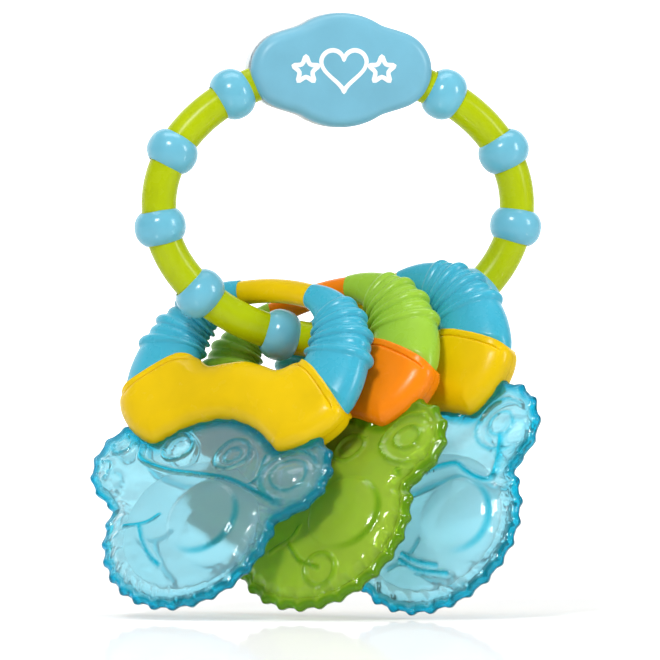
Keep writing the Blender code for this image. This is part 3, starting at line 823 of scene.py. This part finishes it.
SKY_FACE = {
    "muzzle": (7.6, -47.2, 9.4),
    "lines": [
        (((7.9, -33.1), (12.0, -34.6), (13.8, -37.6), (16.4, -41.0), (18.7, -42.2), (20.8, -40.1),
          (23.4, -36.0), (25.0, -33.0)), 0.65, 0.9),
        (((-8.4, -49.8), (-5.0, -54.0), (-0.9, -57.1)), 0.5, 0.7),
        (((-9.4, -51.0), (-5.6, -56.0), (0.9, -60.2)), 0.5, 0.7),
        (((-16.1, -46.9), (-11.6, -46.4), (-8.8, -45.3), (-6.7, -43.4)), 0.45, 0.7),
        (((-20.8, -23.8), (-19.5, -27.3), (-14.9, -29.5), (-7.9, -31.1), (0.0, -31.8),
          (7.9, -33.1)), 0.65, 0.9),
    ],
    "rings": [((25.6, -29.8), 6.8, 0.5, 0.7), ((25.6, -29.8), 3.2, 0.4, 0.5),
              ((-25.0, -28.0), 6.6, 0.6, 0.7)],
    "discs": [((25.6, -29.8), 2.8, 0.4), ((-25.0, -28.0), 2.8, 0.5)],
}


def raised(away, half_width):
    """Height share of a raised line with a firm edge, at a distance from its middle."""
    return 1.0 - steps_between(0.5 * half_width * MM, 1.6 * half_width * MM, away)


def relief(x, z, face):
    """Rise of the face's raised lines, rings, discs and muzzle, how strongly the lines and rings are
    coloured, and painted shade darkening the muzzle's lower right.
    """
    rise = np.zeros(x.shape)
    tone_and_painted_shade = np.zeros(x.shape)
    for points, half_width, height in face["lines"]:
        bump = raised(nearest(x, z, line_through(points)), half_width)
        rise = np.maximum(rise, height * MM * bump)
        tone_and_painted_shade = np.maximum(tone_and_painted_shade, bump)
    for (cx, cz), radius, half_width, height in face["rings"]:
        bump = raised(np.abs(np.hypot(x - cx * MM, z - cz * MM) - radius * MM), half_width)
        rise = np.maximum(rise, height * MM * bump)
        tone_and_painted_shade = np.maximum(tone_and_painted_shade, RING_INK * bump)
    for (cx, cz), radius, height in face["discs"]:
        share = np.hypot(x - cx * MM, z - cz * MM) / (radius * MM)
        rise += height * MM * np.sqrt(np.clip(1.0 - share ** 2, 0.0, 1.0))
    cx, cz, radius = face["muzzle"]
    share = np.hypot(x - cx * MM, z - cz * MM) / (radius * MM)
    rise += MUZZLE_RISE * np.sqrt(np.clip(1.0 - share ** 2, 0.0, 1.0))
    # Painted shade: a darker crescent round the muzzle's dome, deepest at its lower right.
    lower_right = np.clip(((x - cx * MM) - 0.6 * (z - cz * MM)) / (radius * MM), 0.0, 1.0)
    tone_and_painted_shade = np.maximum(tone_and_painted_shade, lower_right * np.clip(1.0 - np.abs(share - 0.97) / 0.12, 0.0, 1.0))
    return rise, tone_and_painted_shade


def dome(to_rim, z):
    """Half depth of the teether, without relief, at a distance from its rim."""
    bead = 1.0 - np.clip(to_rim / RIM_BEAD_WIDTH, 0.0, 1.0)
    rim = RIM_HALF_DEPTH * np.sqrt(1.0 - bead ** 2)
    valley = VALLEY_DEPTH * steps_between(*VALLEY_START, to_rim) * (
        1.0 - steps_between(*VALLEY_END, to_rim))
    crown = np.sqrt(1.0 - (1.0 - np.clip((to_rim - CROWN_START) / CROWN_LENGTH, 0.0, 1.0)) ** 2)
    swell = steps_between(0.0, SWELL_LENGTH, FLAT_TAB_BOTTOM - z)
    full = TEETHER_HALF_DEPTH - MUZZLE_RISE - RIM_HALF_DEPTH
    return rim - valley + full * crown * swell


def skin_parts(face):
    """Both skins of a teether as closed shells, with the colour strength of every point."""
    turns, far, knob = teether_reach(SKIN_TURNS)
    cx, cz = TEETHER_CENTRE
    outline = list(zip(cx + far * np.cos(turns), cz + far * np.sin(turns)))
    shares = [1.0 - SKIN_RIM_SHARE * step / SKIN_RIM_RINGS for step in range(SKIN_RIM_RINGS)]
    face_rings = SKIN_RINGS - SKIN_RIM_RINGS
    shares += [(1.0 - SKIN_RIM_SHARE) * (1 - step / face_rings) for step in range(face_rings)]
    block_edge = [point for point in block_outline(12) if point[1] < BLOCK_UNDERSIDE]
    made = {}
    outer, tones = [], []
    for share in shares:
        x, z = cx + share * far * np.cos(turns), cz + share * far * np.sin(turns)
        to_rim = nearest(x, z, outline)
        rise, tone_and_painted_shade = relief(x, z, face)
        inside = steps_between(2.0 * MM, 3.6 * MM, to_rim)
        radial = 0.45 * MM * knob * steps_between(1.2 * MM, 1.8 * MM, to_rim) * (
            1.0 - steps_between(2.8 * MM, 4.6 * MM, to_rim))
        outer.append((x, dome(to_rim, z) + rise * inside + radial, z))
        tone = 1.0 - 0.75 * steps_between(0.8 * MM, 1.7 * MM, to_rim)
        tone -= 0.25 * steps_between(1.6 * MM, 4.0 * MM, to_rim)
        near_block = 1.0 - steps_between(0.8 * MM, 3.0 * MM, nearest(x, z, block_edge))
        # The raised lines' colour and the muzzle's painted shade come from relief; the tone is also deeper
        # next to the block.
        tones.append(np.maximum(tone, np.maximum(0.95 * tone_and_painted_shade * inside, 0.9 * near_block)))
    inner = []
    for share in INNER_SHARES:
        x, z = cx + share * far * np.cos(turns), cz + share * far * np.sin(turns)
        to_rim = nearest(x, z, outline)
        depth = np.maximum(dome(to_rim, z) - SKIN_THICKNESS, 0.2 * MM)
        inner.append((x, depth, z))
    for side, word in ((-1, "front"), (1, "back")):
        rings = [[Vector((cx, side * float(inner[-1][1].mean()), cz))]]
        tone_list = [INNER_TONE]
        for x, depth, z in inner[::-1]:
            rings.append([Vector((a, side * b, c)) for a, b, c in zip(x, depth, z)])
            tone_list += [INNER_TONE] * len(x)
        for (x, depth, z), tone in zip(outer, tones):
            shown = np.maximum(depth, 0.05 * MM)
            rings.append([Vector((a, side * b, c)) for a, b, c in zip(x, shown, z)])
            tone_list += [float(value) for value in tone]
        rings.append([Vector((cx, side * float(outer[-1][1].mean()), cz))])
        tone_list.append(INNER_TONE)
        mesh = loft(f"skin_{word}", rings)
        layer = mesh.attributes.new("tone", "FLOAT", "POINT")
        layer.data.foreach_set("value", np.array(tone_list, dtype=np.float32))
        made[word] = mesh
    return made


def gel_mesh():
    """The gel pouch: a lens inside the two skins."""
    x0, z0, wide, high = GEL
    turns, far, knob = teether_reach(SKIN_TURNS)
    cx, cz = TEETHER_CENTRE
    outline = list(zip(cx + far * np.cos(turns), cz + far * np.sin(turns)))
    angles = np.arange(GEL_STEPS) * math.tau / GEL_STEPS
    fronts = []
    for share in [math.sin(math.pi / 2 * step / GEL_RINGS) for step in range(1, GEL_RINGS + 1)]:
        x, z = x0 + share * wide * np.cos(angles), z0 + share * high * np.sin(angles)
        room = dome(nearest(x, z, outline), z) - SKIN_THICKNESS - GEL_GAP
        fronts.append((x, np.maximum(room, 0.0) * math.sqrt(max(1.0 - share ** 6, 0.0)), z))
    rings = [[Vector((x0, -float(fronts[0][1].mean()), z0))]]
    rings += [[Vector((a, -b, c)) for a, b, c in zip(*row)] for row in fronts]
    rings += [[Vector((a, b, c)) for a, b, c in zip(*row)] for row in fronts[-2::-1]]
    rings.append([Vector((x0, float(fronts[0][1].mean()), z0))])
    return loft("gel", rings)


KEY_LOOKS = {
    1: {"hard": "yellow", "grip": "blue_grip", "skin": "clear_blue", "gel": "blue_gel",
        "face": BLUE_FACE},
    2: {"hard": "orange", "grip": "green_grip", "skin": "clear_green", "gel": "green_gel",
        "face": GREEN_FACE},
    3: {"hard": "yellow", "grip": "blue_grip", "skin": "clear_blue", "gel": "blue_gel",
        "face": SKY_FACE},
}
SLOTS = {"yellow": "yellow_plastic", "orange": "orange_plastic", "blue_grip": "blue_grip",
         "green_grip": "green_grip", "clear_blue": "clear_blue_skin", "clear_green": "clear_green_skin",
         "blue_gel": "cooling_gel", "green_gel": "cooling_gel"}


def build_keys(paint):
    bar, gel = bar_mesh(), gel_mesh()
    grips = {"left": grip_mesh(-1), "right": grip_mesh(1)}
    covers = {"front": cover_mesh(-1), "back": cover_mesh(1)}
    for number, look in KEY_LOOKS.items():
        body = f"key_{number}"
        matrix = key_matrix(number)

        def add(part, mesh, use, node):
            place(f"{body}_{part}_shown", mesh, paint[look[use]], body, SLOTS[look[use]],
                  [f"{body}_{node}"], matrix)

        add("bar", bar, "hard", "frame")
        for word, mesh in grips.items():
            add(f"grip_{word}", mesh, "grip", f"grip_{word}")
        for word, mesh in covers.items():
            add(f"cover_{word}", mesh, "hard", f"cover_{word}")
        for word, mesh in skin_parts(look["face"]).items():
            add(f"skin_{word}", mesh, "skin", f"skin_{word}")
        add("gel", gel, "gel", "gel")


# ---------------------------------------------------------------- stage, light and camera

CAMERA_AZIMUTH = -12.0
CAMERA_ELEVATION = 1.0
CAMERA_DISTANCE = 3.0
VIEW_WIDTH = 160.4 * MM
AIM_BELOW_RING = 30.4 * MM
AIM_LEFT_OF_RING = 2.05 * MM
FLOOR_GLOW = 0.12
WALL_GLOW = 0.95
FLOOR_DROP = 0.3 * MM
SWEEP_REACH = 8.0
SWEEP_WALL = 5.0
SWEEP_CURVE = 1.0
SWEEP_HEIGHT = 5.0
CURVE_STEPS = 16
GLOW_SPAN = (0.1, 1.0)
SENSOR_WIDTH = 36.0


def build_stage():
    """A pale sweep: a floor that curves up into a wall far behind."""
    low = cad_box[0]
    floor = low.z - FLOOR_DROP
    bend = SWEEP_WALL - SWEEP_CURVE
    profile = [(-SWEEP_REACH, floor), (bend, floor)]
    for step in range(1, CURVE_STEPS + 1):
        turn = math.pi / 2 * step / CURVE_STEPS
        profile.append((bend + SWEEP_CURVE * math.sin(turn), floor + SWEEP_CURVE * (1.0 - math.cos(turn))))
    profile.append((SWEEP_WALL, floor + SWEEP_HEIGHT))
    shape = bmesh.new()
    rows = [[shape.verts.new((x, y, z)) for y, z in profile]
            for x in (-SWEEP_REACH, SWEEP_REACH)]
    for index in range(len(profile) - 1):
        shape.faces.new((rows[0][index], rows[1][index], rows[1][index + 1], rows[0][index + 1]))
    mesh = finished(shape, "sweep")
    item = bpy.data.objects.new("sweep", mesh)
    bpy.context.scene.collection.objects.link(item)
    material = bpy.data.materials.new("sweep paper")
    material.use_nodes = True
    tree = material.node_tree
    tree.nodes.remove(tree.nodes["Principled BSDF"])
    paper = tree.nodes.new("ShaderNodeBsdfDiffuse")
    paper.inputs["Color"].default_value = (0.78, 0.78, 0.78, 1.0)
    sheen = tree.nodes.new("ShaderNodeBsdfGlossy")
    sheen.inputs["Color"].default_value = (1.0, 1.0, 1.0, 1.0)
    sheen.inputs["Roughness"].default_value = 0.06
    mixed = tree.nodes.new("ShaderNodeMixShader")
    mixed.inputs["Fac"].default_value = 0.22
    glow = tree.nodes.new("ShaderNodeEmission")
    glow.inputs["Color"].default_value = (1.0, 1.0, 1.0, 1.0)
    spot = tree.nodes.new("ShaderNodeTexCoord")
    parts = tree.nodes.new("ShaderNodeSeparateXYZ")
    tree.links.new(spot.outputs["Object"], parts.inputs["Vector"])
    strength = tree.nodes.new("ShaderNodeMapRange")
    for name, value in (("From Min", GLOW_SPAN[0]), ("From Max", GLOW_SPAN[1]),
                        ("To Min", FLOOR_GLOW), ("To Max", WALL_GLOW)):
        strength.inputs[name].default_value = value
    tree.links.new(parts.outputs["Y"], strength.inputs["Value"])
    tree.links.new(strength.outputs["Result"], glow.inputs["Strength"])
    added = tree.nodes.new("ShaderNodeAddShader")
    tree.links.new(paper.outputs["BSDF"], mixed.inputs[1])
    tree.links.new(sheen.outputs["BSDF"], mixed.inputs[2])
    tree.links.new(mixed.outputs["Shader"], added.inputs[0])
    tree.links.new(glow.outputs["Emission"], added.inputs[1])
    tree.links.new(added.outputs["Shader"], tree.nodes["Material Output"].inputs["Surface"])
    mesh.materials.append(material)


def softbox(name, place_at, aim, size, power):
    light = bpy.data.lights.new(name, "AREA")
    light.shape = "RECTANGLE"
    light.size, light.size_y = size
    light.energy = power
    item = bpy.data.objects.new(name, light)
    bpy.context.scene.collection.objects.link(item)
    item.location = place_at
    item.rotation_mode = "QUATERNION"
    item.rotation_quaternion = (aim - place_at).to_track_quat("-Z", "Y")


def build_light_and_camera():
    middle = ring_frame()[0]
    azimuth, elevation = math.radians(CAMERA_AZIMUTH), math.radians(CAMERA_ELEVATION)
    right = Vector((math.cos(azimuth), math.sin(azimuth), 0.0))
    back = Vector((math.sin(azimuth) * math.cos(elevation), -math.cos(azimuth) * math.cos(elevation),
                   math.sin(elevation)))
    aim = middle - right * AIM_LEFT_OF_RING - Vector((0, 0, AIM_BELOW_RING))
    data = bpy.data.cameras.new("camera")
    data.sensor_width = SENSOR_WIDTH
    data.lens = SENSOR_WIDTH * CAMERA_DISTANCE / VIEW_WIDTH
    data.clip_start, data.clip_end = 0.05, 20.0
    camera = bpy.data.objects.new("camera", data)
    bpy.context.scene.collection.objects.link(camera)
    camera.location = aim + back * CAMERA_DISTANCE
    camera.rotation_mode = "QUATERNION"
    camera.rotation_quaternion = (-back).to_track_quat("-Z", "Y")
    bpy.context.scene.camera = camera

    softbox("key light", aim + Vector((-0.50, -0.80, 0.75)), aim, (0.22, 0.22), 7.2)
    softbox("fill light", aim + Vector((0.75, -0.60, 0.35)), aim, (0.12, 0.4), 3.4)
    softbox("top light", aim + Vector((0.0, 0.1, 0.9)), aim, (0.8, 0.4), 3.4)
    world = bpy.data.worlds.new("studio")
    world.use_nodes = True
    world.node_tree.nodes["Background"].inputs["Color"].default_value = (1.0, 1.0, 1.0, 1.0)
    world.node_tree.nodes["Background"].inputs["Strength"].default_value = 0.34
    bpy.context.scene.world = world
    bpy.context.scene.view_settings.view_transform = "Standard"


materials = make_materials()
build_ring(materials)
build_beads(materials)
build_clasp(materials)
build_keys(materials)
build_stage()
build_light_and_camera()
